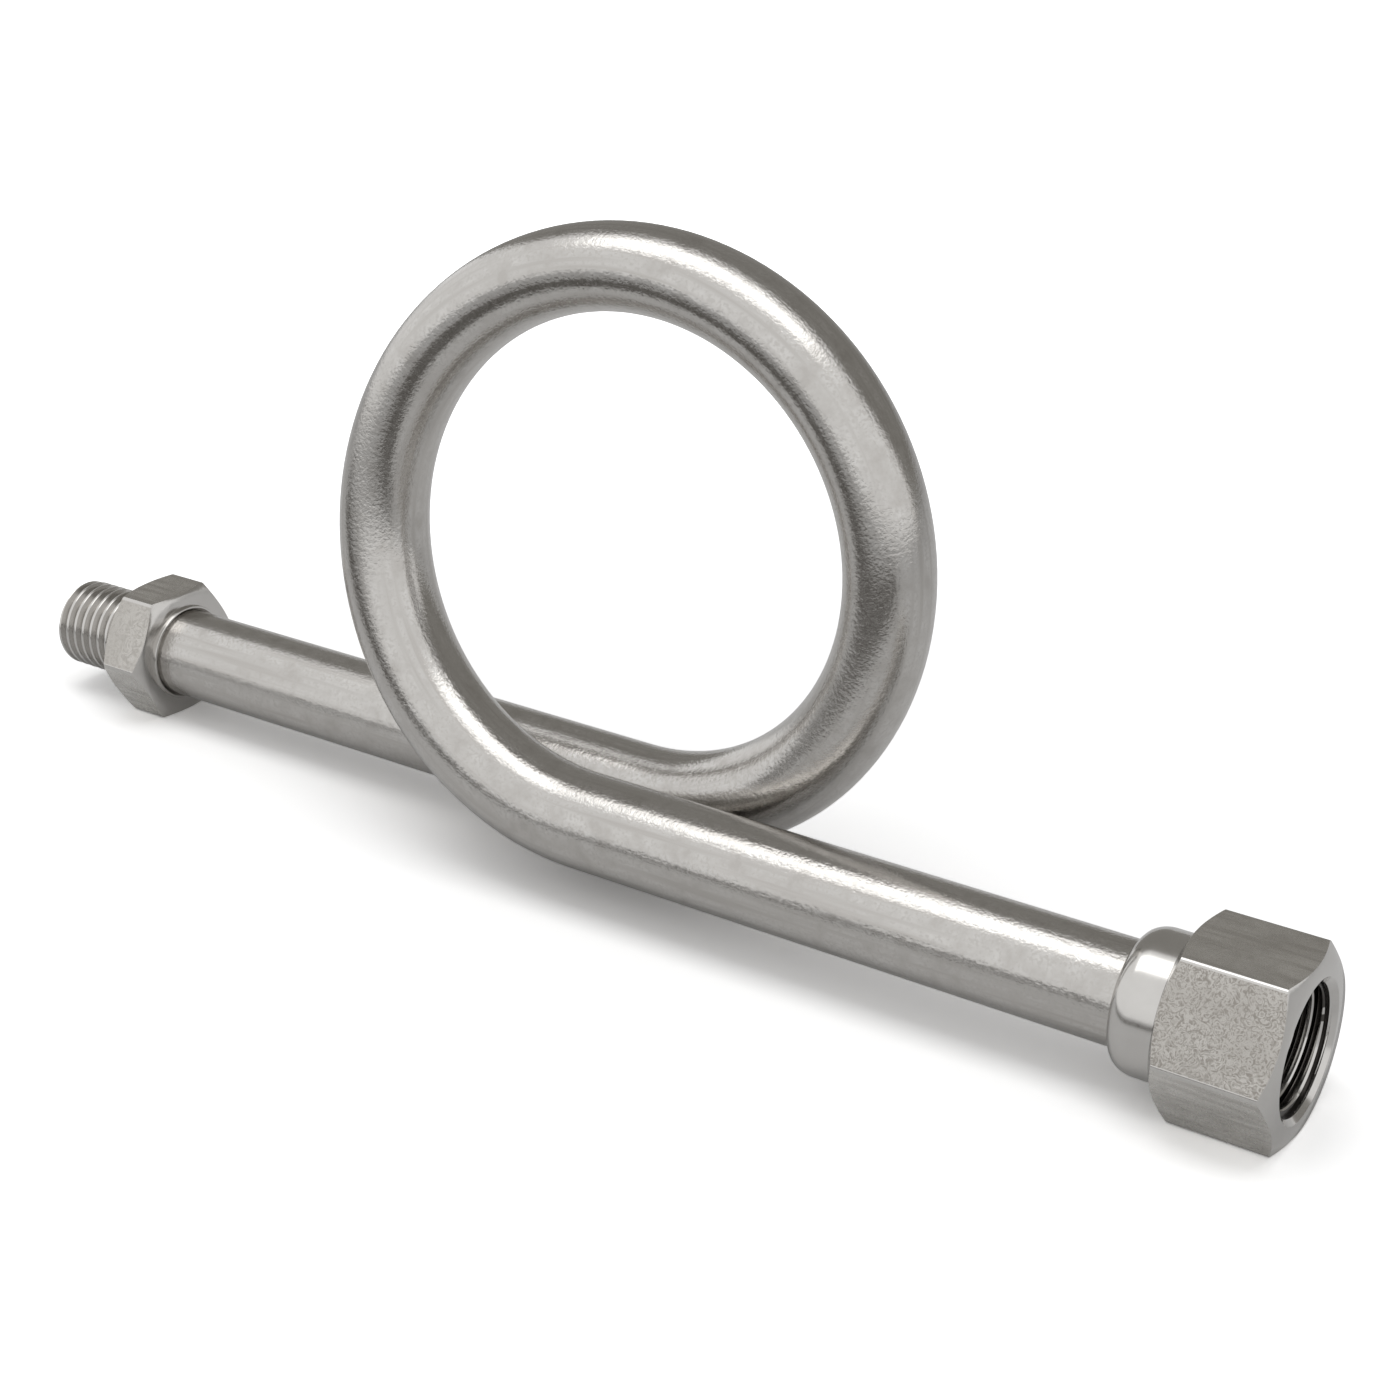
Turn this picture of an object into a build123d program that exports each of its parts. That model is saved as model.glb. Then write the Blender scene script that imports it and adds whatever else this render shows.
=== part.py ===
"""Pressure gauge siphon: a steel pipe bent through one full turn, a hex connector at each end.

Millimetres. X runs along both straight legs, from the male process end (-X) to the
female gauge end (+X). Z is up from the bench that both hexagons lie on, and Y is the
remaining side: the male leg is on +Y, the female leg on -Y, and the loop stands between.
"""
import math
import os

from build123d import *

os.makedirs("parts", exist_ok=True)

# ---- pipe ----
tube_od = 16.0              # outside diameter of the pipe
tube_wall = 2.0
loop_radius = 44.0          # centre line of the loop
turn_gap = 0.5              # free space where the two legs pass each other
loop_flattening = 0.86      # the bent pipe's width in the plane of the loop, over its round width
flattening_run = 110.0      # degrees of bend over which the pipe goes from round to flattened
male_leg_length = 108.8     # from the bend to the end of the pipe in the male connector
female_leg_length = 104.8   # from the bend to the end of the pipe in the female connector
section_step = 15.0         # degrees between the sections that the bend is lofted through
straight_lead = 10.0        # straight pipe at each end of the loft

# ---- male process connector ----
male_flats = 23.0           # across flats
male_hex_length = 9.5
male_thread_dia = 16.0      # M16 x 2, crest diameter
male_thread_length = 17.2
male_lead_in = 1.3          # chamfer at the free end of the thread
male_socket_depth = 6.0
male_lip_height = 0.7       # raised lip round the pipe on the hexagon's face
male_lip_wall = 0.8
male_bore_dia = 9.0

# ---- female gauge connector ----
female_flats = 27.0         # across flats
female_hex_length = 18.0
neck_dia = 22.0
neck_length = 8.0
neck_round = 3.4            # convex round where the neck comes down to the pipe
female_thread_dia = 20.0    # M20 x 2, root diameter of the female thread
thread_pitch = 2.0
female_thread_depth = 15.0
mouth_dia = 21.4            # countersink at the face
female_socket_depth = 9.0
female_bore_dia = 9.0

# ---- fits and edges ----
socket_clearance = 0.05     # radial, between the pipe and each socket
socket_chamfer = 0.4        # at the mouth of each socket
hex_chamfer_angle = 30.0    # degrees, both ends of each hexagon
hex_face_ratio = 0.965      # diameter of a hexagon's turned end face over its flats

# ---- derived ----
tube_r = tube_od / 2
leg_spacing = tube_od + turn_gap
yaw = math.asin(leg_spacing / (2 * math.pi * loop_radius))
pitch = leg_spacing / math.cos(yaw)
lean = math.asin((female_flats - male_flats) / 2 / leg_spacing)
axis_height = (female_flats + male_flats) / 4
female_minor_dia = female_thread_dia - 1.0825 * thread_pitch
loop_frame = Pos(0, 0, axis_height) * Rot(X=-math.degrees(lean)) * Rot(Z=math.degrees(yaw))


def bend_station(angle):
    """Plane square to the pipe at an angle (degrees) round the loop, x across the loop's plane."""
    t = math.radians(angle)
    rise = pitch / (2 * math.pi)
    at = Vector(loop_radius * math.sin(t), pitch * (0.5 - angle / 360), loop_radius * (1 - math.cos(t)))
    along = Vector(loop_radius * math.cos(t), -rise, loop_radius * math.sin(t)).normalized()
    across = Vector(0, 1, 0) - along * along.Y
    section = Plane(origin=at, x_dir=across.normalized(), z_dir=along)
    return Plane(loop_frame * section.location)


def squash(angle):
    """Width of the pipe in the loop's plane over its round width, at an angle round the loop."""
    part_way = min(1.0, min(angle, 360 - angle) / flattening_run)
    return 1 - (1 - loop_flattening) * part_way * part_way * (3 - 2 * part_way)


def bend_sections(inset):
    """Faces square to the pipe along the bend, each set in from the pipe's outside by a distance."""
    first, last = bend_station(0), bend_station(360)
    round_planes = [first.offset(-straight_lead), first.offset(-straight_lead / 2)]
    faces = [plane * Circle(tube_r - inset).face() for plane in round_planes]
    for number in range(round(360 / section_step) + 1):
        angle = number * section_step
        oval = Ellipse(tube_r - inset, tube_r * squash(angle) - inset).face()
        faces.append(bend_station(angle) * oval)
    round_planes = [last.offset(straight_lead / 2), last.offset(straight_lead)]
    faces += [plane * Circle(tube_r - inset).face() for plane in round_planes]
    return faces


def pipe_solid(inset):
    """The whole pipe as one filled solid, set in from its outside by a distance."""
    faces = bend_sections(inset)
    with BuildPart() as solid:
        loft(faces)
        extrude(faces[0], amount=-(male_leg_length - straight_lead))
        extrude(faces[-1], amount=female_leg_length - straight_lead)
    return solid.part


def turned(profile, mode=Mode.ADD):
    """Turns a closed (radius, height) profile round the local Z axis of the current part."""
    with BuildSketch(Plane.XZ) as half:
        with BuildLine():
            Polyline(*profile, close=True)
        make_face()
    revolve(half.sketch, axis=Axis.Z, mode=mode)


def hex_blank(flats, length):
    """A hexagon bar along local +Z with its flat down, both ends chamfered."""
    corner_r = flats / math.sqrt(3)
    face_r = flats / 2 * hex_face_ratio
    drop = (corner_r - face_r) * math.tan(math.radians(hex_chamfer_angle))
    with BuildPart() as blank:
        with BuildSketch() as outline:
            RegularPolygon(radius=corner_r, side_count=6, rotation=30)
        extrude(outline.sketch, amount=length)
        turned([(0, 0), (face_r, 0), (corner_r, drop), (corner_r, length - drop),
                (face_r, length), (0, length)], mode=Mode.INTERSECT)
    return blank.part


# ---- pipe: round legs, a flattened loop, bored through ----
pipe_outside = pipe_solid(0)
pipe_bore = pipe_solid(tube_wall)
with BuildPart() as siphon_tube:
    add(pipe_outside)
    add(pipe_bore, mode=Mode.SUBTRACT)

# ---- male connector: local Z runs from the pipe side to the free end ----
male_socket_r = tube_r + socket_clearance
male_lip_r = male_socket_r + male_lip_wall
male_length = male_hex_length + male_thread_length
male_hexagon = hex_blank(male_flats, male_hex_length)
with BuildPart() as male_blank:
    add(male_hexagon)
    turned([(0, -male_lip_height), (male_lip_r - 0.25, -male_lip_height),
            (male_lip_r, 0.25 - male_lip_height), (male_lip_r, 1), (0, 1)])
    turned([(0, male_hex_length - 1), (male_thread_dia / 2, male_hex_length - 1),
            (male_thread_dia / 2, male_length - male_lead_in),
            (male_thread_dia / 2 - male_lead_in, male_length), (0, male_length)])
    turned([(0, -male_lip_height), (male_socket_r + socket_chamfer, -male_lip_height),
            (male_socket_r, socket_chamfer - male_lip_height), (male_socket_r, male_socket_depth),
            (male_bore_dia / 2, male_socket_depth), (male_bore_dia / 2, male_length), (0, male_length)],
           mode=Mode.SUBTRACT)

# ---- female connector: local Z runs from the pipe side to the mouth ----
female_socket_r = tube_r + socket_clearance
female_length = neck_length + female_hex_length
neck_r = neck_dia / 2
throat_r = neck_r - neck_round
thread_floor = female_length - female_thread_depth
minor_r = female_minor_dia / 2
female_hexagon = Pos(0, 0, neck_length) * hex_blank(female_flats, female_hex_length)
with BuildPart() as female_blank:
    add(female_hexagon)
    with BuildSketch(Plane.XZ):
        with BuildLine():
            Line((0, 0), (neck_r - neck_round + 1.2, 0))
            ThreePointArc((neck_r - neck_round + 1.2, 0),
                          (neck_r - neck_round * 0.18, neck_round * 0.38), (neck_r, neck_round))
            Polyline((neck_r, neck_round), (neck_r, neck_length + 1), (0, neck_length + 1), (0, 0))
        make_face()
    revolve(axis=Axis.Z)
    turned([(0, 0), (female_socket_r + socket_chamfer, 0), (female_socket_r, socket_chamfer),
            (female_socket_r, female_socket_depth), (female_bore_dia / 2, female_socket_depth),
            (female_bore_dia / 2, thread_floor), (minor_r, thread_floor),
            (minor_r, female_length - (mouth_dia / 2 - minor_r)), (mouth_dia / 2, female_length),
            (0, female_length)], mode=Mode.SUBTRACT)

# ---- places: each connector's socket floor on the end of its leg, a flat of each hexagon down ----
male_end = bend_station(0).offset(-male_leg_length).origin
female_end = bend_station(360).offset(female_leg_length).origin
male_place = Pos(*male_end) * Rot(Y=-90) * Pos(0, 0, -male_socket_depth)
female_place = Pos(*female_end) * Rot(Y=90) * Pos(0, 0, -female_socket_depth)
male_solid = male_place * male_blank.part
female_solid = female_place * female_blank.part

# ---- row frame: middle of the overall footprint, bench at z = 0 ----
bounds = Compound(children=[siphon_tube.part, male_solid, female_solid]).bounding_box()
to_row = Pos(-(bounds.min.X + bounds.max.X) / 2, -(bounds.min.Y + bounds.max.Y) / 2, 0)

with BuildPart() as tube_node:
    add(to_row * siphon_tube.part)
with BuildPart() as male_node:
    add(to_row * male_solid)
with BuildPart() as female_node:
    add(to_row * female_solid)

tube_node.part.label = "siphon_tube"
male_node.part.label = "male_connector"
female_node.part.label = "female_connector"
export_step(tube_node.part, "parts/siphon_tube.step")
export_step(male_node.part, "parts/male_connector.step")
export_step(female_node.part, "parts/female_connector.step")
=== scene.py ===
"""Looks of a pressure gauge siphon: a looped stainless pipe between two hex connectors.

Metres throughout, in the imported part's own frame: X runs along both legs towards the female
end, Z is up from the bench. Sizes that belong to the maker's drawing are given in millimetres
and turned to metres by MM.
"""
import enum
import logging
import math
from dataclasses import dataclass, field, replace

import bmesh
import bpy
from mathutils import Matrix, Vector

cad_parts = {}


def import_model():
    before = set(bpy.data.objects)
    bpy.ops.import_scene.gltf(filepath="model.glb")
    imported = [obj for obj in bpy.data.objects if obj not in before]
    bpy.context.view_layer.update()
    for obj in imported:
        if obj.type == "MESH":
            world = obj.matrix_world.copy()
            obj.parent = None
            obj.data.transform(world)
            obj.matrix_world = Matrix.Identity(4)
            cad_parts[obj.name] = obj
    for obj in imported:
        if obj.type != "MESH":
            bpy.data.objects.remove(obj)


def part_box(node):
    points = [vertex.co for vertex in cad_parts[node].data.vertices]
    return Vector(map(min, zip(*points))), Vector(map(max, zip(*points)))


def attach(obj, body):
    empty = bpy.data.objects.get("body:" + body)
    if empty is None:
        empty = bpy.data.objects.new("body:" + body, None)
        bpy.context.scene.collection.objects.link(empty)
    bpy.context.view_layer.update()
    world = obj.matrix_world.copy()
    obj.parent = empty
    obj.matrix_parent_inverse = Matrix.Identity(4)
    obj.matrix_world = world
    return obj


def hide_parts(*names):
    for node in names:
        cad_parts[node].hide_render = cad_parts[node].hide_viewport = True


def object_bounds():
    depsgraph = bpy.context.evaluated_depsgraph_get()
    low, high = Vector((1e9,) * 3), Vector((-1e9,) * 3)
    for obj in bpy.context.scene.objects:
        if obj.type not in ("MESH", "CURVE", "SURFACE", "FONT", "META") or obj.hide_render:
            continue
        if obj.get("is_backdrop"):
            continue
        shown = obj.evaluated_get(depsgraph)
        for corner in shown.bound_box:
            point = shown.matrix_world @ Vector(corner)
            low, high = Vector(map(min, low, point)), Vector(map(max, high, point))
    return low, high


MM = 0.001
MERGE = 1e-7                # metres within which two points are one
SLIVER = 1e-8               # shorter edges are dissolved
LEVEL = 1e-6                # metres within which a point lies on a plane
HEX_SIDES = 6
MIX_FIRST, MIX_SECOND, MIX_RESULT = 6, 7, 2     # colour sockets of the Mix node
SRGB_KNEE, SRGB_SLOPE, SRGB_OFFSET, SRGB_GAMMA = 0.04045, 12.92, 0.055, 2.4
LOG = logging.getLogger("siphon")
Node = bpy.types.Node
Tree = bpy.types.NodeTree


# ---------------------------------------------------------------- colours and nodes

def linear(hex_colour: str) -> tuple[float, float, float, float]:
    """Turns an sRGB hex colour to linear RGBA.

    Args:
        hex_colour: six hex digits, with or without a leading #.
    Returns:
        Linear red, green, blue and an alpha of 1.
    """
    digits = hex_colour.lstrip("#")
    channels = [byte / 255 for byte in bytes.fromhex(digits)]
    values = [c / SRGB_SLOPE if c <= SRGB_KNEE
              else ((c + SRGB_OFFSET) / (1 + SRGB_OFFSET)) ** SRGB_GAMMA for c in channels]
    return (*values, 1.0)


def add_node(tree: Tree, kind: str, values: dict | None = None, links: dict | None = None,
             **settings: object) -> Node:
    """Adds one node to a tree.

    Args:
        tree: the node tree that gets the node.
        kind: the node's type name.
        values: input socket (name or number) to the constant it is set to.
        links: input socket (name or number) to the output socket that feeds it.
        settings: attributes of the node itself.
    Returns:
        The new node.
    """
    made = tree.nodes.new(kind)
    for name, value in settings.items():
        setattr(made, name, value)
    for socket, value in (values or {}).items():
        made.inputs[socket].default_value = value
    for socket, source in (links or {}).items():
        tree.links.new(source, made.inputs[socket])
    return made


# ---------------------------------------------------------------- finishes

GRAIN_DETAIL, GRAIN_BREAK, PATCH_BREAK = 3.0, 0.55, 0.6
PATCH_SPREAD = 7            # stained patches are this many grains wide
PATCH_BAND = (0.35, 0.68)   # noise levels between which a patch goes from clean to stained
GRAIN_BAND = (0.42, 0.6)
STREAK_BAND = (0.38, 0.66)
GLOSS_BAND = (0.3, 0.7)
STREAK_DETAIL, STREAK_BREAK = 2.5, 0.5
STREAK_RELIEF = 0.8         # height of the streaks against that of the grain


@dataclass(frozen=True)
class Steel:
    """Stainless steel: a grey metal with its own grain, given by how the surface was made."""

    name: str
    bright: str                 # sRGB colour of the clean metal
    dull: str                   # sRGB colour where the surface is stained or open-grained
    roughness: float
    roughness_spread: float     # how far the grain moves the roughness
    grain_mm: float             # size of the surface grain
    grain_height_mm: float      # how deep the grain is
    swirl: float = 0.0          # how far the grain is curled into a crinkled network
    grain_tone: float = 0.0     # how much of the dull colour the grain shows
    streak_mm: float = 0.0      # spacing of drawn or rolled streaks, 0 for none
    streak_length: float = 12.0  # streaks are this many times longer than wide
    along_uv: bool = False      # streaks follow the piece's own UV map, along its first axis
    stain: float = 0.5          # how much of the dull colour the patches and streaks show

    def dress(self) -> bpy.types.Material:
        """Builds the material.

        Returns:
            The finished material.
        """
        material = bpy.data.materials.new(self.name)
        material.use_nodes = True
        tree = material.node_tree
        shader = tree.nodes["Principled BSDF"]
        shader.inputs["Metallic"].default_value = 1.0
        place = add_node(tree, "ShaderNodeTexCoord")
        flow = place.outputs["UV"] if self.along_uv else place.outputs["Object"]
        per_metre = 1.0 / (self.grain_mm * MM)
        grain = add_node(tree, "ShaderNodeTexNoise", links={"Vector": place.outputs["Object"]},
                         values={"Scale": per_metre, "Detail": GRAIN_DETAIL, "Roughness": GRAIN_BREAK,
                                 "Distortion": self.swirl})
        patches = add_node(tree, "ShaderNodeTexNoise", links={"Vector": place.outputs["Object"]},
                           values={"Scale": per_metre / PATCH_SPREAD, "Detail": GRAIN_DETAIL,
                                   "Roughness": PATCH_BREAK})
        patchy = add_node(tree, "ShaderNodeMapRange", links={"Value": patches.outputs["Fac"]},
                          values={"From Min": PATCH_BAND[0], "From Max": PATCH_BAND[1],
                                  "To Max": self.stain})
        speckle = add_node(tree, "ShaderNodeMapRange", links={"Value": grain.outputs["Fac"]},
                           values={"From Min": GRAIN_BAND[0], "From Max": GRAIN_BAND[1],
                                   "To Max": self.grain_tone})
        tone = add_node(tree, "ShaderNodeMath", operation="MAXIMUM",
                        links={0: patchy.outputs["Result"], 1: speckle.outputs["Result"]})
        height = grain.outputs["Fac"]
        if self.streak_mm:
            step = 1.0 / (self.streak_mm * MM)
            pulled = add_node(tree, "ShaderNodeMapping", links={"Vector": flow},
                              values={"Scale": (step / self.streak_length, step, step)})
            streaks = add_node(tree, "ShaderNodeTexNoise", links={"Vector": pulled.outputs["Vector"]},
                               values={"Scale": 1.0, "Detail": STREAK_DETAIL, "Roughness": STREAK_BREAK})
            streaky = add_node(tree, "ShaderNodeMapRange", links={"Value": streaks.outputs["Fac"]},
                               values={"From Min": STREAK_BAND[0], "From Max": STREAK_BAND[1],
                                       "To Max": self.stain})
            tone = add_node(tree, "ShaderNodeMath", operation="MAXIMUM",
                            links={0: tone.outputs[0], 1: streaky.outputs["Result"]})
            mixed = add_node(tree, "ShaderNodeMath", operation="MULTIPLY_ADD",
                             links={0: streaks.outputs["Fac"], 2: height}, values={1: STREAK_RELIEF})
            height = mixed.outputs[0]
        colour = add_node(tree, "ShaderNodeMix", data_type="RGBA", links={"Factor": tone.outputs[0]},
                          values={MIX_FIRST: linear(self.bright), MIX_SECOND: linear(self.dull)})
        tree.links.new(colour.outputs[MIX_RESULT], shader.inputs["Base Color"])
        gloss = add_node(tree, "ShaderNodeMapRange", links={"Value": grain.outputs["Fac"]},
                         values={"From Min": GLOSS_BAND[0], "From Max": GLOSS_BAND[1],
                                 "To Min": self.roughness - self.roughness_spread,
                                 "To Max": self.roughness + self.roughness_spread})
        tree.links.new(gloss.outputs["Result"], shader.inputs["Roughness"])
        bump = add_node(tree, "ShaderNodeBump", links={"Height": height},
                        values={"Strength": 1.0, "Distance": self.grain_height_mm * MM})
        tree.links.new(bump.outputs["Normal"], shader.inputs["Normal"])
        return material


# Pickled pipe: acid leaves an even satin with an orange-peel grain, and bending stretches it
# into long soft streaks, so reflections have ragged edges.
PIPE_STEEL = Steel("pickled_stainless_pipe", bright="#CCCAC7", dull="#A9A5A0", roughness=0.18,
                   roughness_spread=0.06, grain_mm=0.55, grain_height_mm=0.055, grain_tone=0.45,
                   streak_mm=1.5, streak_length=30.0, along_uv=True, stain=0.6)
# Turned faces, chamfers, bores and threads: smooth, brighter, with almost no grain.
TURNED_STEEL = Steel("turned_stainless", bright="#CDCBC8", dull="#BBB8B4", roughness=0.17,
                     roughness_spread=0.02, grain_mm=0.8, grain_height_mm=0.0015, stain=0.3)
# The top and bottom flats of the hexagon bar keep the long streaks of the drawing die.
DRAWN_STEEL = Steel("drawn_hexagon_bar", bright="#E1DFDB", dull="#ADA9A4", roughness=0.27,
                    roughness_spread=0.03, grain_mm=0.9, grain_height_mm=0.0012, streak_mm=1.3,
                    streak_length=12.0, stain=0.6)
# Etched flats show the crystals of the bar: a mottled, crinkled grain about a millimetre wide.
ETCHED_STEEL = Steel("etched_hexagon_bar", bright="#C1BEB9", dull="#807A73", roughness=0.3,
                     roughness_spread=0.06, grain_mm=1.25, grain_height_mm=0.055, swirl=4.0,
                     grain_tone=0.75, stain=0.35)
# The smaller hexagon is etched less: its side flats are only faintly clouded.
CLOUDED_STEEL = replace(ETCHED_STEEL, name="clouded_hexagon_bar", grain_mm=2.2, grain_height_mm=0.015,
                        grain_tone=0.35)
# Painted shade: the flanks and roots deep in the gauge thread's bore are coloured dark, so only the crests
# are bright.
OILED_STEEL = Steel("thread_flank_painted_shade", bright="#575451", dull="#3B3937", roughness=0.22,
                    roughness_spread=0.03, grain_mm=0.8, grain_height_mm=0.002, stain=0.5)
# Painted shade: the roots and lower flanks of the process thread are coloured darker than its crests.
SHADED_STEEL = replace(OILED_STEEL, name="shaded_thread_root", bright="#A3A09C", dull="#7C7975")


class Look(enum.Enum):
    """A connector's finishes and the painted shade of its thread, in the order of its material slots."""

    TURNED = 0
    DRAWN = 1
    ETCHED = 2
    # slot of the painted thread shade
    OILED = 3


# ---------------------------------------------------------------- mesh helpers

def finished(name: str, bm: bmesh.types.BMesh, materials: list[bpy.types.Material],
             sharp_degrees: float = 32.0) -> bpy.types.Object:
    """Turns a bmesh into a smooth-shaded object with sharp creases kept.

    Args:
        name: the object's name.
        bm: the shape; it is freed.
        materials: its materials, in slot order.
        sharp_degrees: edges that turn more than this stay sharp.
    Returns:
        The object, linked to the scene.
    """
    mesh = bpy.data.meshes.new(name)
    for face in bm.faces:
        face.smooth = True
    for edge in bm.edges:
        if len(edge.link_faces) == 2:
            edge.smooth = edge.calc_face_angle(math.pi) < math.radians(sharp_degrees)
    bm.to_mesh(mesh)
    bm.free()
    made = bpy.data.objects.new(name, mesh)
    bpy.context.scene.collection.objects.link(made)
    for material in materials:
        mesh.materials.append(material)
    return made


def turned_shape(profile: list[tuple[float, float]], steps: int = 96) -> bmesh.types.BMesh:
    """Turns a closed profile round the X axis.

    Args:
        profile: (along X, radius) points in metres, running round the section.
        steps: number of faces round the axis.
    Returns:
        A closed mesh with its normals outwards.
    """
    bm = bmesh.new()
    points = [bm.verts.new((x, 0.0, radius)) for x, radius in profile]
    edges = [bm.edges.new(pair) for pair in zip(points, points[1:] + points[:1])]
    bmesh.ops.spin(bm, geom=points + edges, axis=(1, 0, 0), cent=(0, 0, 0), dvec=(0, 0, 0),
                   angle=2 * math.pi, steps=steps, use_merge=True, use_duplicate=False)
    bmesh.ops.remove_doubles(bm, verts=bm.verts, dist=MERGE)
    bmesh.ops.dissolve_degenerate(bm, edges=bm.edges, dist=SLIVER)
    bmesh.ops.recalc_face_normals(bm, faces=bm.faces)
    return bm


def combined(body: bmesh.types.BMesh, tool: bmesh.types.BMesh, operation: str) -> bmesh.types.BMesh:
    """Joins, cuts or intersects two closed shapes.

    Args:
        body: the shape worked on; it is freed.
        tool: the other shape; it is freed.
        operation: UNION, DIFFERENCE or INTERSECT.
    Returns:
        The resulting shape.
    """
    held = []
    for label, bm in (("body", body), ("tool", tool)):
        mesh = bpy.data.meshes.new(label)
        bm.to_mesh(mesh)
        bm.free()
        made = bpy.data.objects.new(label, mesh)
        bpy.context.scene.collection.objects.link(made)
        held.append(made)
    cut = held[0].modifiers.new("cut", "BOOLEAN")
    cut.operation = operation
    cut.object = held[1]
    cut.solver = "EXACT"
    bpy.context.view_layer.update()
    seen = held[0].evaluated_get(bpy.context.evaluated_depsgraph_get())
    result = bmesh.new()
    result.from_mesh(seen.to_mesh())
    seen.to_mesh_clear()
    for made in held:
        mesh = made.data
        bpy.data.objects.remove(made)
        bpy.data.meshes.remove(mesh)
    bmesh.ops.remove_doubles(result, verts=result.verts, dist=MERGE)
    return result


def show(piece: bpy.types.Object, node: str) -> None:
    """Sets a piece in place: it rides on the part's one body and stands in for one CAD node, which is
    hidden; its triangle count is logged.

    Args:
        piece: the finished object.
        node: the CAD node that it replaces.
    """
    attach(piece, "root")
    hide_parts(node)
    piece.data.calc_loop_triangles()
    LOG.info("%s: %d triangles", piece.name, len(piece.data.loop_triangles))


# ---------------------------------------------------------------- the pipe

@dataclass
class SiphonPipe:
    """The pipe: a round male leg, one full turn whose section is flattened, a round female leg."""

    male_axis: Vector           # point on the male leg's axis
    female_axis: Vector         # point on the female leg's axis
    male_end_x: float
    female_end_x: float
    outer_radius: float = 8.0 * MM
    wall: float = 2.0 * MM
    loop_radius: float = 44.0 * MM
    male_leg: float = 108.8 * MM
    flattening: float = 0.86
    flattening_run: float = math.radians(110)
    steps: int = 144            # rings round the loop
    leg_rings: int = 40
    around: int = 64
    spacing: float = field(init=False)
    yaw: float = field(init=False)
    pitch: float = field(init=False)
    place: Matrix = field(init=False)

    def __post_init__(self) -> None:
        """Works the loop's place out from the two legs."""
        apart = self.male_axis - self.female_axis
        self.spacing = math.hypot(apart.y, apart.z)
        self.yaw = math.asin(self.spacing / (2 * math.pi * self.loop_radius))
        self.pitch = self.spacing / math.cos(self.yaw)
        lean = math.asin(-apart.z / self.spacing)
        middle = (self.male_axis + self.female_axis) / 2
        middle.x = self.male_end_x + self.male_leg + self.pitch / 2 * math.sin(self.yaw)
        self.place = (Matrix.Translation(middle) @ Matrix.Rotation(-lean, 4, "X")
                      @ Matrix.Rotation(self.yaw, 4, "Z"))

    def squash(self, turn: float) -> float:
        """Says how far the bend flattens the pipe.

        Args:
            turn: angle round the loop, from the male leg.
        Returns:
            Width of the pipe in the loop's plane over its round width.
        """
        part = max(0.0, min(1.0, turn / self.flattening_run, (2 * math.pi - turn) / self.flattening_run))
        return 1 - (1 - self.flattening) * part * part * (3 - 2 * part)

    def station(self, turn: float) -> Matrix:
        """Places a section of the loop.

        Args:
            turn: angle round the loop, from the male leg.
        Returns:
            Its place, with X across the loop's plane, Y in the plane and Z along the pipe.
        """
        rise = self.pitch / (2 * math.pi)
        at = Vector((self.loop_radius * math.sin(turn), self.pitch * (0.5 - turn / (2 * math.pi)),
                     self.loop_radius * (1 - math.cos(turn))))
        along = Vector((self.loop_radius * math.cos(turn), -rise,
                        self.loop_radius * math.sin(turn))).normalized()
        across = (Vector((0, 1, 0)) - along * along.y).normalized()
        inward = along.cross(across)
        basis = Matrix((across, inward, along)).transposed().to_4x4()
        return self.place @ Matrix.Translation(at) @ basis

    def stations(self) -> list[tuple[Matrix, float, float]]:
        """Lists every section from the male end to the female end.

        Returns:
            (place, squash, length so far) of each section.
        """
        first, last = self.station(0.0), self.station(2 * math.pi)
        found = []
        for number in range(self.leg_rings):
            back = self.male_leg * (1 - number / self.leg_rings)
            found.append((first @ Matrix.Translation((0, 0, -back)), 1.0, self.male_leg - back))
        turn_length = math.hypot(2 * math.pi * self.loop_radius, self.pitch)
        for number in range(self.steps + 1):
            turn = 2 * math.pi * number / self.steps
            run = self.male_leg + turn_length * number / self.steps
            found.append((self.station(turn), self.squash(turn), run))
        leg = self.female_end_x - last.translation.x
        for number in range(1, self.leg_rings + 1):
            ahead = leg * number / self.leg_rings
            found.append((last @ Matrix.Translation((0, 0, ahead)), 1.0,
                          self.male_leg + turn_length + ahead))
        return found

    def wall_shell(self, bm: bmesh.types.BMesh, inset: float) -> tuple[list, list]:
        """Adds one tubular surface.

        Args:
            bm: the mesh that gets the surface.
            inset: distance in from the pipe's outside.
        Returns:
            The edges of its first ring and of its last.
        """
        before, first = None, None
        for place, squash, _ in self.stations():
            shape = Matrix.Diagonal((self.outer_radius - inset, self.outer_radius * squash - inset, 1, 1))
            ring = bmesh.ops.create_circle(bm, cap_ends=False, segments=self.around, radius=1.0,
                                           matrix=place @ shape)["verts"]
            edges = list({edge for vert in ring for edge in vert.link_edges})
            if before:
                bmesh.ops.bridge_loops(bm, edges=before + edges)
            else:
                first = edges
            before = edges
        return first, before

    def lay_uv(self, bm: bmesh.types.BMesh) -> None:
        """Gives the mesh a UV map in metres: U along the pipe, V round it.

        Args:
            bm: the pipe's mesh.
        """
        layer = bm.loops.layers.uv.new("along_pipe")
        stations = self.stations()
        centres = [place.translation for place, _, _ in stations]
        rings = {}
        for vert in bm.verts:
            near = min(range(len(centres)), key=lambda i: (centres[i] - vert.co).length_squared)
            local = stations[near][0].inverted() @ vert.co
            rings[vert] = (stations[near][2], math.atan2(local.y, local.x))
        for face in bm.faces:
            turns = [rings[loop.vert][1] for loop in face.loops]
            wrapped = max(turns) - min(turns) > math.pi
            for loop, turn in zip(face.loops, turns):
                turn += 2 * math.pi if wrapped and turn < 0 else 0.0
                loop[layer].uv = (rings[loop.vert][0], turn * self.outer_radius)

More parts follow.
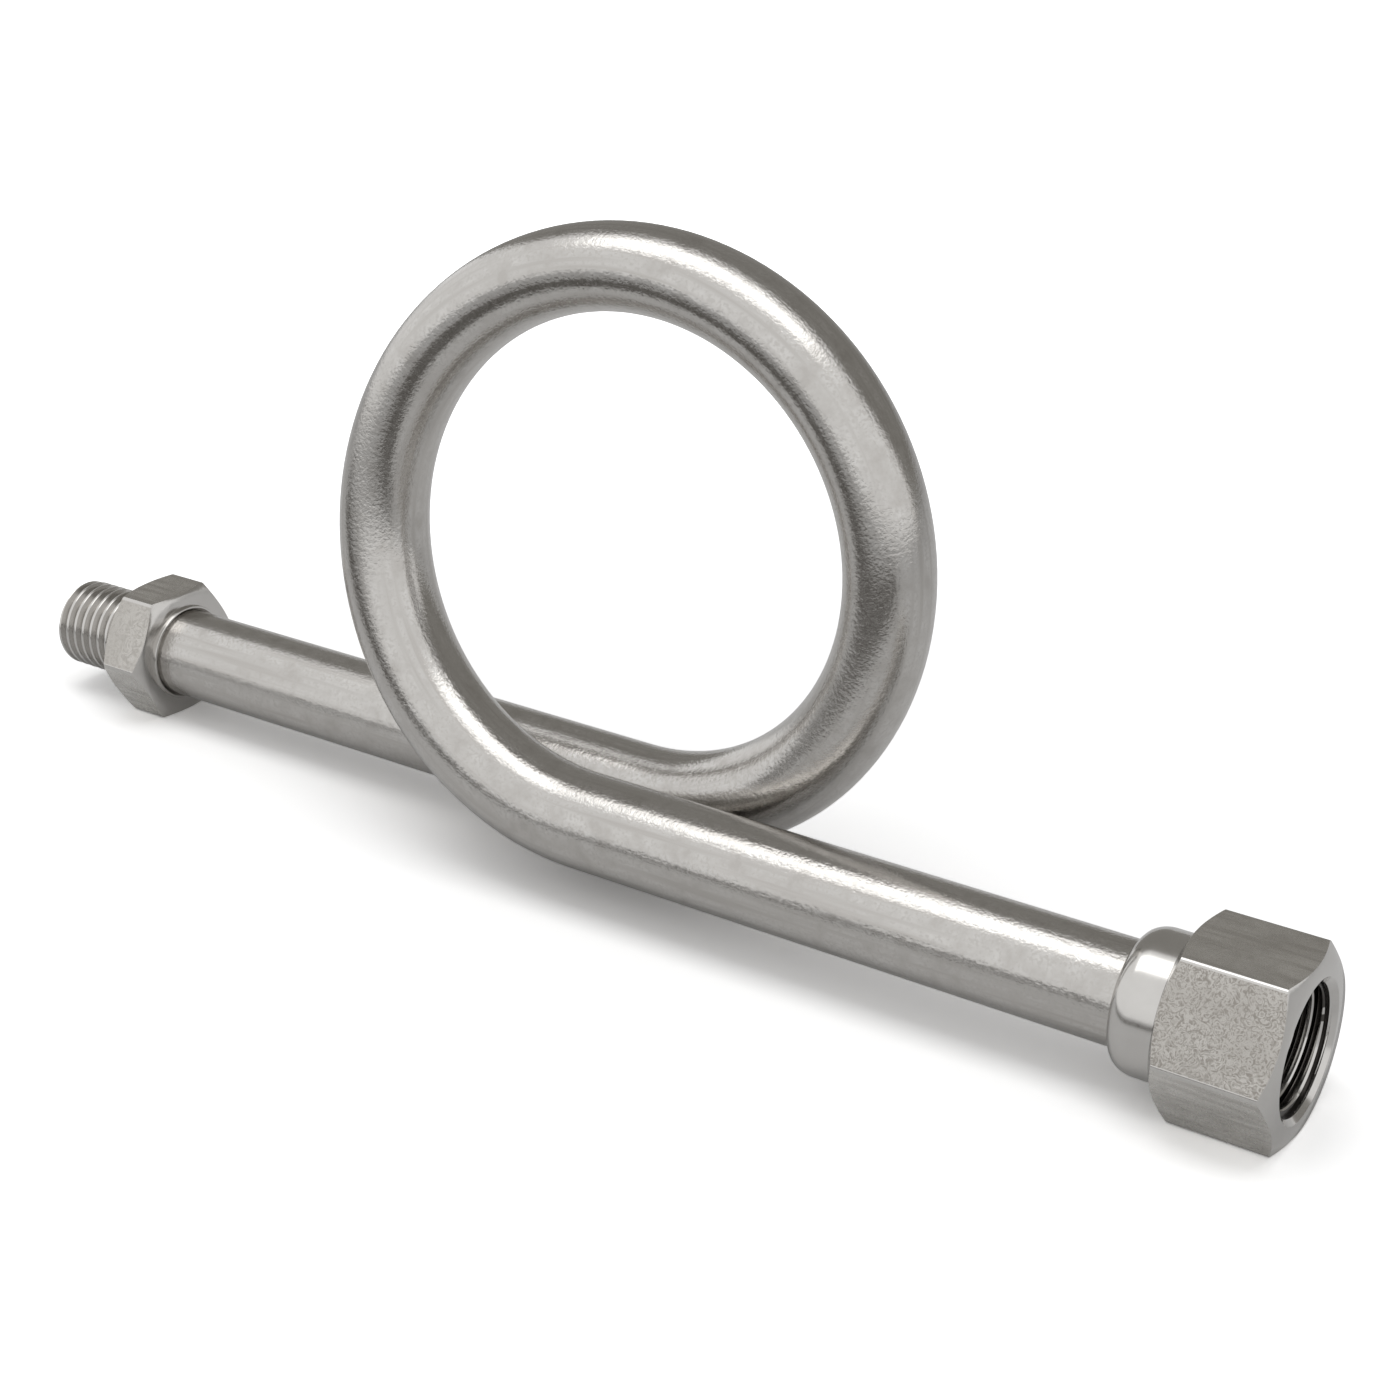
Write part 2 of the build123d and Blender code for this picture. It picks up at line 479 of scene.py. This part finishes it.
    def build(self, steel: bpy.types.Material) -> bpy.types.Object:
        """Makes the pipe's mesh and dresses it.

        Args:
            steel: the pipe's finish.
        Returns:
            The pipe.
        """
        bm = bmesh.new()
        outer = self.wall_shell(bm, 0.0)
        inner = self.wall_shell(bm, self.wall)
        for outside, inside in zip(outer, inner):
            bmesh.ops.bridge_loops(bm, edges=outside + inside)
        bmesh.ops.recalc_face_normals(bm, faces=bm.faces)
        self.lay_uv(bm)
        piece = finished("siphon_tube_pipe", bm, [steel])
        show(piece, "siphon_tube")
        return piece


# ---------------------------------------------------------------- the connectors

@dataclass
class Thread:
    """A helical thread about the X axis."""

    crest_radius: float
    pitch: float = 2.0 * MM
    depth: float = 1.2 * MM
    steps_per_turn: int = 72
    crest_share: float = 0.16   # share of the pitch that is flat crest
    root_share: float = 0.22
    root_round: float = 0.05    # share of the pitch over which a root turns into its flank
    root_slope: float = 1.25    # depth lost over that share
    crest_corner: tuple[float, float] = (0.06, 0.04)    # length and drop of a crest's worn corner
    spare_turns: int = 3        # turns wound past the rod's ends, then cut off

    def deep(self) -> float:
        """Share of the depth at which a flank starts to turn into the root."""
        return 1 - self.root_slope * self.root_round

    def section(self) -> list[tuple[float, float]]:
        """Draws one pitch of the thread.

        Returns:
            (along, depth below the crest) points, as shares of the pitch and of the depth.
        """
        crest, root, turn = self.crest_share, self.root_share, self.root_round
        flank = (1 - crest - root) / 2
        along, down = self.crest_corner
        return [(0.0, 0.0), (crest / 2, 0.0), (crest / 2 + along, down),
                (crest / 2 + flank - turn, self.deep()), (crest / 2 + flank, 1.0),
                (crest / 2 + flank + root, 1.0), (crest / 2 + flank + root + turn, self.deep()),
                (1 - crest / 2 - along, down), (1 - crest / 2, 0.0), (1.0, 0.0)]

    def rod(self, start: float, end: float) -> bmesh.types.BMesh:
        """A closed threaded rod between two places on the X axis.

        Args:
            start: lower X of the rod.
            end: higher X of the rod.
        Returns:
            The closed rod.
        """
        turns = math.ceil((end - start) / self.pitch) + self.spare_turns
        origin = start - self.spare_turns / 2 * self.pitch
        bm = bmesh.new()
        points = [bm.verts.new((origin + along * self.pitch, 0.0, self.crest_radius - down * self.depth))
                  for along, down in self.section()]
        edges = [bm.edges.new(pair) for pair in zip(points, points[1:])]
        step = self.pitch / self.steps_per_turn
        bmesh.ops.spin(bm, geom=points + edges, axis=(1, 0, 0), cent=(0, 0, 0), dvec=(step, 0, 0),
                       angle=2 * math.pi * turns, steps=self.steps_per_turn * turns,
                       use_merge=False, use_duplicate=False)
        bmesh.ops.remove_doubles(bm, verts=bm.verts, dist=LEVEL)
        for at, normal in ((start, (-1, 0, 0)), (end, (1, 0, 0))):
            bmesh.ops.bisect_plane(bm, geom=bm.verts[:] + bm.edges[:] + bm.faces[:], dist=MERGE,
                                   plane_co=(at, 0, 0), plane_no=normal, clear_outer=True)
            rim = [edge for edge in bm.edges if edge.is_boundary
                   and all(abs(vert.co.x - at) < LEVEL for vert in edge.verts)]
            bmesh.ops.edgeloop_fill(bm, edges=rim)
        bmesh.ops.recalc_face_normals(bm, faces=bm.faces)
        return bm


@dataclass
class Hexagon:
    """A length of hexagon bar about the X axis, a flat down, with both ends chamfered."""

    flats: float
    start: float
    end: float
    face_ratio: float = 0.965
    chamfer: float = math.radians(30)
    edge_break: float = 0.5 * MM
    edge_steps: int = 3

    def blank(self) -> bmesh.types.BMesh:
        """Makes the chamfered bar.

        Returns:
            The closed bar.
        """
        corner = self.flats / math.sqrt(3)
        length = self.end - self.start
        bm = bmesh.new()
        bmesh.ops.create_cone(bm, cap_ends=True, cap_tris=False, segments=HEX_SIDES, radius1=corner,
                              radius2=corner, depth=length)
        bmesh.ops.rotate(bm, cent=(0, 0, 0), verts=bm.verts, matrix=Matrix.Rotation(math.pi / 2, 3, "Y"))
        lowest = min(vert.co.z for vert in bm.verts)
        if abs(lowest + corner) < LEVEL:
            bmesh.ops.rotate(bm, cent=(0, 0, 0), verts=bm.verts,
                             matrix=Matrix.Rotation(math.pi / HEX_SIDES, 3, "X"))
        bmesh.ops.translate(bm, verts=bm.verts, vec=((self.start + self.end) / 2, 0, 0))
        ridges = [edge for edge in bm.edges
                  if abs(edge.verts[0].co.x - edge.verts[1].co.x) > length / 2]
        bmesh.ops.bevel(bm, geom=ridges, offset=self.edge_break, offset_type="OFFSET",
                        segments=self.edge_steps, profile=0.5, affect="EDGES", material=-1)
        face_radius = self.flats / 2 * self.face_ratio
        drop = (corner - face_radius) * math.tan(self.chamfer)
        limit = turned_shape([(self.start, 0.0), (self.start, face_radius), (self.start + drop, corner),
                              (self.end - drop, corner), (self.end, face_radius), (self.end, 0.0)])
        return combined(bm, limit, "INTERSECT")


END_TILT = 0.02             # a face this little turned along the bar is one of its flats
FLAT_REACH = 0.02 * MM      # how near a flat's middle lies to half the width
UPWARD = 0.9                # the top flat's normal is above this


def dress_flats(piece: bpy.types.Object, hexagon: Hexagon) -> None:
    """Gives a hexagon's flats their drawn or etched finish, and leaves the rest turned.

    Args:
        piece: the connector, before it is moved to its leg.
        hexagon: the bar that the flats belong to.
    """
    half = hexagon.flats / 2
    for face in piece.data.polygons:
        normal = face.normal
        if abs(normal.x) > END_TILT or abs(face.center.dot(normal) - half) > FLAT_REACH:
            continue
        drawn = normal.z > UPWARD or normal.z < 0.0
        face.material_index = (Look.DRAWN if drawn else Look.ETCHED).value


def shade_thread(piece: bpy.types.Object, along: tuple[float, float],
                 radii: tuple[float, float]) -> None:
    """Gives the roots or flanks of a thread their darker finish.

    Args:
        piece: the connector, before it is moved to its leg.
        along: lowest and highest X of the thread.
        radii: smallest and largest radius of the faces that get the painted shade.
    """
    for polygon in piece.data.polygons:
        radius = math.hypot(polygon.center.y, polygon.center.z)
        if along[0] < polygon.center.x < along[1] and radii[0] < radius < radii[1]:
            polygon.material_index = Look.OILED.value


@dataclass
class MaleConnector:
    """The process end: a hexagon with a lip round the pipe, and a right-hand male thread."""

    low: Vector                 # lowest corner of the CAD connector
    high: Vector
    flats: float = 23.0 * MM
    hex_length: float = 9.5 * MM
    lip_height: float = 0.7 * MM
    lip_wall: float = 0.8 * MM
    socket_depth: float = 6.0 * MM
    pipe_radius: float = 8.05 * MM
    socket_chamfer: float = 0.4 * MM
    bore_radius: float = 4.5 * MM
    bore_chamfer: float = 0.5 * MM
    lip_break: float = 0.25 * MM
    lip_round: float = 0.3      # how far the lip's break bulges, as a share of it
    lead_in: float = 1.3 * MM
    lead_over: float = 0.3      # how far the lead-in's cone runs past the crests, as a share
    root_margin: float = 0.98   # roots lie outside this share of their radius
    thread: Thread = field(default_factory=lambda: Thread(crest_radius=8.0 * MM))

    def build(self, steels: list[bpy.types.Material]) -> bpy.types.Object:
        """Makes the connector's mesh and dresses it.

        Args:
            steels: its finishes, in the order of Look.
        Returns:
            The connector.
        """
        free_end, back = self.low.x, self.high.x
        hex_high = back - self.lip_height
        hex_low = hex_high - self.hex_length
        hexagon = Hexagon(self.flats, hex_low, hex_high)
        lip = self.pipe_radius + self.lip_wall
        soft = self.lip_break
        part = soft * self.lip_round
        collar = turned_shape([(hex_high - MM, 0.0), (hex_high - MM, lip), (back - soft, lip),
                               (back - part, lip - part), (back, lip - soft), (back, 0.0)])
        screw = self.thread.rod(free_end, hex_low + MM)
        crest = self.thread.crest_radius
        over = crest + self.lead_over * self.lead_in
        cone = turned_shape([(free_end, 0.0), (free_end, crest - self.lead_in),
                             (free_end + self.lead_in * (1 + self.lead_over), over),
                             (hex_low + 2 * MM, over), (hex_low + 2 * MM, 0.0)])
        body = combined(hexagon.blank(), collar, "UNION")
        body = combined(body, combined(screw, cone, "INTERSECT"), "UNION")
        mouth = self.pipe_radius + self.socket_chamfer
        floor = hex_high - self.socket_depth
        opening = self.bore_radius + self.bore_chamfer
        hollow = turned_shape([(back + MM, 0.0), (back + MM, mouth), (back, mouth),
                               (back - self.socket_chamfer, self.pipe_radius), (floor, self.pipe_radius),
                               (floor, self.bore_radius), (free_end + self.bore_chamfer, self.bore_radius),
                               (free_end, opening), (free_end - MM, opening), (free_end - MM, 0.0)])
        body = combined(body, hollow, "DIFFERENCE")
        piece = finished("male_connector_body", body, steels)
        dress_flats(piece, hexagon)
        deepest = (crest - self.thread.depth) * self.root_margin
        halfway = crest - self.thread.depth / 2
        # painted shade on the male thread's roots and lower flanks
        shade_thread(piece, (free_end, hex_low), (deepest, halfway))
        middle = (self.low + self.high) / 2
        piece.data.transform(Matrix.Translation((0, middle.y, middle.z)))
        show(piece, "male_connector")
        return piece


@dataclass
class FemaleConnector:
    """The gauge end: a rounded neck, a larger hexagon and a countersunk female thread."""

    low: Vector
    high: Vector
    flats: float = 27.0 * MM
    neck_length: float = 8.0 * MM
    neck_radius: float = 11.0 * MM
    neck_round: float = 3.4 * MM
    lip: float = 1.2 * MM
    socket_depth: float = 9.0 * MM
    pipe_radius: float = 8.05 * MM
    socket_chamfer: float = 0.4 * MM
    bore_radius: float = 4.5 * MM
    thread_depth: float = 15.0 * MM
    mouth_radius: float = 10.7 * MM
    neck_steps: int = 12
    groove_place: float = 0.55  # where in the countersink the first groove starts
    groove_width: float = 0.5 * MM
    groove_clearance: float = 0.05 * MM
    thread: Thread = field(default_factory=lambda: Thread(crest_radius=10.0 * MM, depth=1.08 * MM,
                                                          crest_share=0.2, root_share=0.16,
                                                          root_round=0.12))

    def build(self, steels: list[bpy.types.Material]) -> bpy.types.Object:
        """Makes the connector's mesh and dresses it.

        Args:
            steels: its finishes, in the order of Look.
        Returns:
            The connector.
        """
        back, face = self.low.x, self.high.x
        hex_low = back + self.neck_length
        hexagon = Hexagon(self.flats, hex_low, face)
        foot = self.neck_radius - self.neck_round + self.lip
        sweep = [(back + self.neck_round * (1 - math.cos(a)),
                  foot + (self.neck_radius - foot) * math.sin(a))
                 for a in (math.radians(90 * k / self.neck_steps) for k in range(self.neck_steps + 1))]
        neck = turned_shape([(back, 0.0), *sweep, (hex_low + MM, self.neck_radius), (hex_low + MM, 0.0)])
        body = combined(hexagon.blank(), neck, "UNION")
        floor = face - self.thread_depth
        screw = self.thread.rod(floor, face + MM)
        sink = self.mouth_radius - (self.thread.crest_radius - self.thread.depth)
        start = self.groove_place * sink
        groove = self.thread.crest_radius + self.groove_clearance
        hollow = turned_shape([(back - MM, 0.0), (back - MM, self.pipe_radius + self.socket_chamfer),
                               (back, self.pipe_radius + self.socket_chamfer),
                               (back + self.socket_chamfer, self.pipe_radius),
                               (back + self.socket_depth, self.pipe_radius),
                               (back + self.socket_depth, self.bore_radius),
                               (floor + MM / 2, self.bore_radius), (floor + MM / 2, 0.0)])
        bevel = turned_shape([(face - sink, 0.0), (face - sink, self.mouth_radius - sink),
                              (face, self.mouth_radius), (face + MM, self.mouth_radius), (face + MM, 0.0)])
        relief = turned_shape([(face - start - self.groove_width, 0.0),
                               (face - start - self.groove_width, groove),
                               (face - start, groove), (face - start, 0.0)])
        for cutter in (screw, hollow, bevel, relief):
            body = combined(body, cutter, "DIFFERENCE")
        piece = finished("female_connector_body", body, steels)
        dress_flats(piece, hexagon)
        shallow = self.thread.crest_radius - self.thread.depth * self.thread.deep()
        # painted shade on the female thread's flanks and roots inside the bore
        shade_thread(piece, (floor, face - start), (shallow, self.mouth_radius))
        middle = (self.low + self.high) / 2
        piece.data.transform(Matrix.Translation((0, middle.y, middle.z)))
        show(piece, "female_connector")
        return piece


# ---------------------------------------------------------------- studio

@dataclass(frozen=True)
class SoftBox:
    """A soft rectangular lamp, hung from the object's centre and facing it."""

    name: str
    at: tuple[float, float, float]
    size: tuple[float, float]
    power: float                # watts


@dataclass(frozen=True)
class Card:
    """A grey card that only reflections see: it stands and faces the object, or lies flat."""

    name: str
    at: tuple[float, float, float]  # from the object's centre; a flat card's height is the bench's
    size: tuple[float, float]
    grey: str                   # sRGB colour
    flat: bool = False


OVERHEAD = SoftBox("overhead_softbox", at=(0.0, -0.05, 0.62), size=(0.8, 0.33), power=1.2)
# The dark back wall that the pipe's top edge and the top flats show.
BACK_CARD = Card("back_flag", at=(0.0, 0.74, 0.52), size=(2.6, 1.26), grey="#93918D")
# The dark line along the pipe's front, and the dark bands down the sides of the loop.
FRONT_CARD = Card("front_card", at=(-0.08, -0.2, 0.001), size=(0.9, 0.2), grey="#6B6966", flat=True)


@dataclass
class Studio:
    """White bench, soft overhead light, dark flags for the metal to reflect, and the camera."""

    centre: Vector
    azimuth: float = math.radians(33.67)
    elevation: float = math.radians(25.63)
    roll: float = math.radians(-0.34)
    distance: float = 395.0 * MM
    aim: Vector = field(default_factory=lambda: Vector((18.19, 5.51, 33.56)) * MM)
    lens_over_sensor: float = 1.7821
    sensor_mm: float = 36.0
    clip: tuple[float, float] = (0.01, 50.0)    # nearest and farthest distance drawn
    bench_half: float = 6.0
    ambient: float = 0.46       # the white room's level for everything but the camera and gloss
    bench_white: str = "#F4F4F4"
    bench_gain: float = 0.8    # how much more of the light the camera sees on the bench
    glow: float = 0.85          # the bench's own light for the camera, far from the object
    glow_from: float = 100.0 * MM
    glow_full: float = 330.0 * MM

    def camera(self) -> None:
        """Sets the camera at the product's own viewing angle."""
        back = Vector((math.sin(self.azimuth) * math.cos(self.elevation),
                       -math.cos(self.azimuth) * math.cos(self.elevation), math.sin(self.elevation)))
        data = bpy.data.cameras.new("camera")
        data.sensor_width = self.sensor_mm
        data.lens = self.lens_over_sensor * data.sensor_width
        data.clip_start, data.clip_end = self.clip
        made = bpy.data.objects.new("camera", data)
        bpy.context.scene.collection.objects.link(made)
        made.rotation_mode = "QUATERNION"
        turned = (-back).to_track_quat("-Z", "Y").to_matrix() @ Matrix.Rotation(self.roll, 3, "Z")
        made.rotation_quaternion = turned.to_quaternion()
        made.location = self.aim + back * self.distance
        bpy.context.scene.camera = made

    def lamp(self, box: SoftBox) -> None:
        """Hangs a lamp.

        Args:
            box: its name, place, size and power.
        """
        data = bpy.data.lights.new(box.name, "AREA")
        data.shape = "RECTANGLE"
        data.size, data.size_y = box.size
        data.energy = box.power
        made = bpy.data.objects.new(box.name, data)
        bpy.context.scene.collection.objects.link(made)
        made.location = self.centre + Vector(box.at)
        made.rotation_mode = "QUATERNION"
        made.rotation_quaternion = (-Vector(box.at)).to_track_quat("-Z", "Y")

    def flag(self, card: Card) -> None:
        """Stands or lays a card.

        Args:
            card: its name, place, size and grey.
        """
        at = Vector(card.at)
        turn = Matrix()
        if card.flat:
            at.z -= self.centre.z
        else:
            turn = (-at).to_track_quat("-Z", "Y").to_matrix().to_4x4()
        bm = bmesh.new()
        bmesh.ops.create_grid(bm, x_segments=1, y_segments=1, size=0.5)
        place = Matrix.Translation(self.centre + at) @ turn
        bmesh.ops.transform(bm, verts=bm.verts, matrix=place @ Matrix.Diagonal((*card.size, 1, 1)))
        material = bpy.data.materials.new(card.name)
        material.use_nodes = True
        tree = material.node_tree
        tree.nodes.remove(tree.nodes["Principled BSDF"])
        glow = add_node(tree, "ShaderNodeEmission", values={"Color": linear(card.grey), "Strength": 1.0})
        tree.links.new(glow.outputs[0], tree.nodes["Material Output"].inputs["Surface"])
        sheet = finished(card.name, bm, [material])
        for ray in ("camera", "diffuse", "shadow", "transmission", "volume_scatter"):
            setattr(sheet, f"visible_{ray}", False)
        sheet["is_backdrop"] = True

    def bench(self) -> None:
        """Lays the white bench: only the camera sees it lifted to white, so the shadow stays grey."""
        bm = bmesh.new()
        bmesh.ops.create_grid(bm, x_segments=1, y_segments=1, size=self.bench_half)
        material = bpy.data.materials.new("white_bench")
        material.use_nodes = True
        tree = material.node_tree
        shader = tree.nodes["Principled BSDF"]
        shader.inputs["Base Color"].default_value = linear(self.bench_white)
        shader.inputs["Roughness"].default_value = 1.0
        shader.inputs["Specular IOR Level"].default_value = 0.0
        rays = add_node(tree, "ShaderNodeLightPath")
        camera = rays.outputs["Is Camera Ray"]
        gain = add_node(tree, "ShaderNodeMath", operation="MULTIPLY", links={0: camera},
                        values={1: self.bench_gain})
        lift = add_node(tree, "ShaderNodeBsdfDiffuse", links={"Color": gain.outputs[0]})
        place = add_node(tree, "ShaderNodeTexCoord")
        away = add_node(tree, "ShaderNodeVectorMath", operation="DISTANCE",
                        links={0: place.outputs["Object"]},
                        values={1: (self.centre.x, self.centre.y, 0.0)})
        far = add_node(tree, "ShaderNodeMapRange", links={"Value": away.outputs["Value"]},
                       values={"From Min": self.glow_from, "From Max": self.glow_full,
                               "To Max": self.glow})
        strength = add_node(tree, "ShaderNodeMath", operation="MULTIPLY",
                            links={0: camera, 1: far.outputs["Result"]})
        glow = add_node(tree, "ShaderNodeEmission", links={"Strength": strength.outputs[0]})
        lifted = add_node(tree, "ShaderNodeAddShader",
                          links={0: shader.outputs["BSDF"], 1: lift.outputs["BSDF"]})
        total = add_node(tree, "ShaderNodeAddShader",
                         links={0: lifted.outputs[0], 1: glow.outputs["Emission"]})
        tree.links.new(total.outputs[0], tree.nodes["Material Output"].inputs["Surface"])
        finished("bench", bm, [material])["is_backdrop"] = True

    def sky(self) -> None:
        """White to the camera and in reflections, and a plain soft level for everything else."""
        world = bpy.data.worlds.new("white_room")
        bpy.context.scene.world = world
        world.use_nodes = True
        tree = world.node_tree
        rays = add_node(tree, "ShaderNodeLightPath")
        seen = rays.outputs["Is Camera Ray"]
        for name in ("Is Glossy Ray", "Is Transmission Ray"):
            seen = add_node(tree, "ShaderNodeMath", operation="MAXIMUM",
                            links={0: seen, 1: rays.outputs[name]}).outputs[0]
        level = add_node(tree, "ShaderNodeMapRange", links={"Value": seen},
                         values={"To Min": self.ambient, "To Max": 1.0})
        shader = tree.nodes["Background"]
        shader.inputs["Color"].default_value = (1, 1, 1, 1)
        tree.links.new(level.outputs["Result"], shader.inputs["Strength"])

    def build(self) -> None:
        """Builds the whole studio."""
        bpy.context.scene.view_settings.view_transform = "Standard"
        self.sky()
        self.bench()
        self.lamp(OVERHEAD)
        self.flag(BACK_CARD)
        self.flag(FRONT_CARD)
        self.camera()


def main() -> None:
    """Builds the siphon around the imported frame."""
    logging.basicConfig(level=logging.INFO, format="%(message)s")
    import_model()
    cad_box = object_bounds()
    male_low, male_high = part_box("male_connector")
    female_low, female_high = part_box("female_connector")
    pipe_low, pipe_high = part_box("siphon_tube")
    # The last slot of each connector holds the painted shade of its thread.
    flats = [TURNED_STEEL.dress(), DRAWN_STEEL.dress(), ETCHED_STEEL.dress(), OILED_STEEL.dress()]
    pipe = SiphonPipe((Vector(male_low) + Vector(male_high)) / 2,
                      (Vector(female_low) + Vector(female_high)) / 2, pipe_low[0], pipe_high[0])
    pipe.build(PIPE_STEEL.dress())
    small_flats = [*flats[:Look.ETCHED.value], CLOUDED_STEEL.dress(), SHADED_STEEL.dress()]
    MaleConnector(Vector(male_low), Vector(male_high)).build(small_flats)
    FemaleConnector(Vector(female_low), Vector(female_high)).build(flats)
    Studio((Vector(cad_box[0]) + Vector(cad_box[1])) / 2).build()


if __name__ == "__main__":
    main()
